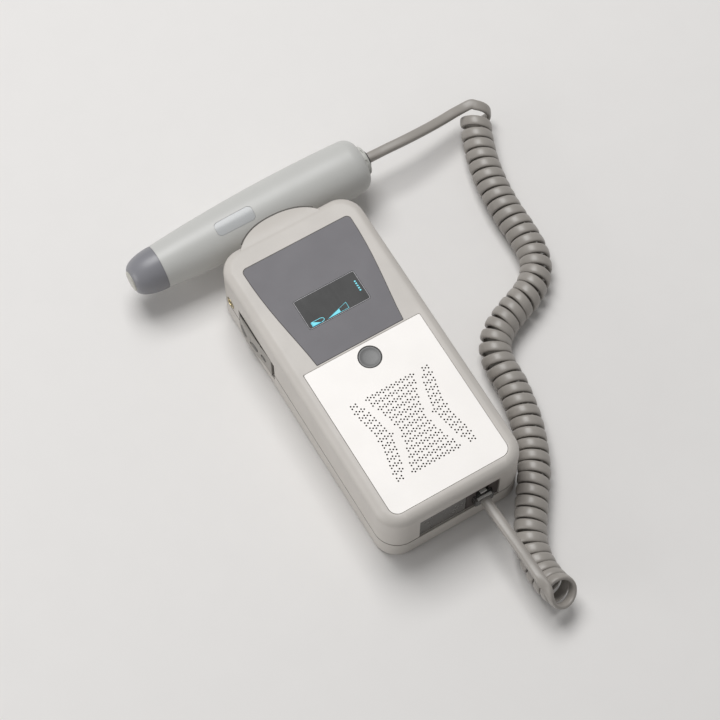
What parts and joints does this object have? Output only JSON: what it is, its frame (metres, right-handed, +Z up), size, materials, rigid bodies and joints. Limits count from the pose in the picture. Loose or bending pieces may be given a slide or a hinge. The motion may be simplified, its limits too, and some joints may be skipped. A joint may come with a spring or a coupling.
{
  "type": "handheld doppler",
  "caption": "Pocket ultrasound doppler with a display and loudspeaker, its pencil probe in the top holder, joined by a curly cord to a socket in the lower end.",
  "frame": {"origin": "on the table, under the middle of the case and probe taken together without the cord", "axes": "+Z up through the face of the case as it lies on its back, +Y along the case from its cord socket to the probe, +X to the right of the display"},
  "size_m": [0.1942, 0.2461, 0.0394],
  "materials": {
    "case": "fine moulded texture, satin",
    "plate": "smooth satin with small sound holes",
    "overlay": "fine-textured film",
    "window": "clear gloss over a dark display",
    "display": "dark display glass",
    "inner_plastic": "plain moulded",
    "button": "satin, dished",
    "black_plastic": "plain moulded",
    "board": "solder resist",
    "speaker": "satin black basket",
    "key_rubber": "soft matte",
    "key": "soft satin",
    "ring": "turned, slightly dulled",
    "port": "dark, smooth",
    "cell": "printed sleeve without lettering",
    "contact": "nickel-plated spring steel",
    "screw": "zinc-plated",
    "plug": "clear moulded",
    "cord": "satin elastomer jacket",
    "probe": "satin moulded",
    "nose": "satin moulded",
    "lens": "smooth, slightly glossy",
    "crystal": "silvered ceramic",
    "collar": "satin moulded",
    "label": "smooth film, bare"
  },
  "bodies": {
    "main": {"front_shell": "case", "rear_shell": "case", "grille_plate": "plate", "display_overlay": "overlay", "display_window": "window", "display_module": "display", "display_carrier": "inner_plastic", "button_switch": "black_plastic", "main_board": "board", "speaker": "speaker", "key_strip": "key_rubber", "key_board": "board", "earphone_ring": "ring", "earphone_socket": "black_plastic", "end_panel": "port", "cord_socket": "port", "socket_board": "board", "battery_cell_1": "cell", "battery_cell_2": "cell", "battery_cell_3": "cell", "battery_contact_low": "contact", "battery_contact_high": "contact", "case_screw_1": "screw", "case_screw_2": "screw", "case_screw_3": "screw", "case_screw_4": "screw", "cord_plug": "plug", "plug_cord": "cord", "coiled_cord": "cord"},
    "probe": {"probe_cord": "cord", "probe_front_shell": "probe", "probe_rear_shell": "probe", "probe_nose": "nose", "probe_lens": "lens", "probe_crystals": "crystal", "probe_board": "board", "probe_collar": "collar", "probe_label": "label"},
    "power_button": {"power_button": "button"},
    "volume_up_key": {"volume_up_key": "key"},
    "volume_down_key": {"volume_down_key": "key"},
    "mode_key": {"mode_key": "key"},
    "battery_door": {"battery_door": "case"},
    "plug_latch": {"plug_latch": "plug"}
  },
  "joints": [
    {"name": "probe_out", "type": "slide", "parent": "main", "child": "probe", "axis": [0, 1, 0], "range_m": [0, 0.045]},
    {"name": "power_press", "type": "slide", "parent": "main", "child": "power_button", "axis": [0, 0, -1], "range_m": [0, 0.0008], "stiffness_N_per_m": 300, "springref_m": -0.0006},
    {"name": "volume_up_press", "type": "slide", "parent": "main", "child": "volume_up_key", "axis": [1, 0, 0], "range_m": [0, 0.0008], "stiffness_N_per_m": 300, "springref_m": -0.0006},
    {"name": "volume_down_press", "type": "slide", "parent": "main", "child": "volume_down_key", "axis": [1, 0, 0], "range_m": [0, 0.0008], "stiffness_N_per_m": 300, "springref_m": -0.0006},
    {"name": "mode_press", "type": "slide", "parent": "main", "child": "mode_key", "axis": [1, 0, 0], "range_m": [0, 0.0008], "stiffness_N_per_m": 300, "springref_m": -0.0006},
    {"name": "battery_door_slide", "type": "slide", "parent": "main", "child": "battery_door", "axis": [0, -1, 0], "range_m": [0, 0.01]},
    {"name": "latch_press", "type": "hinge", "parent": "main", "child": "plug_latch", "pos_m": [0.0204, -0.08325, 0.0235], "axis": [1, 0, 0], "range_deg": [0, 10], "stiffness_Nm_per_rad": 0.05, "springref_deg": -2.86}
  ]
}
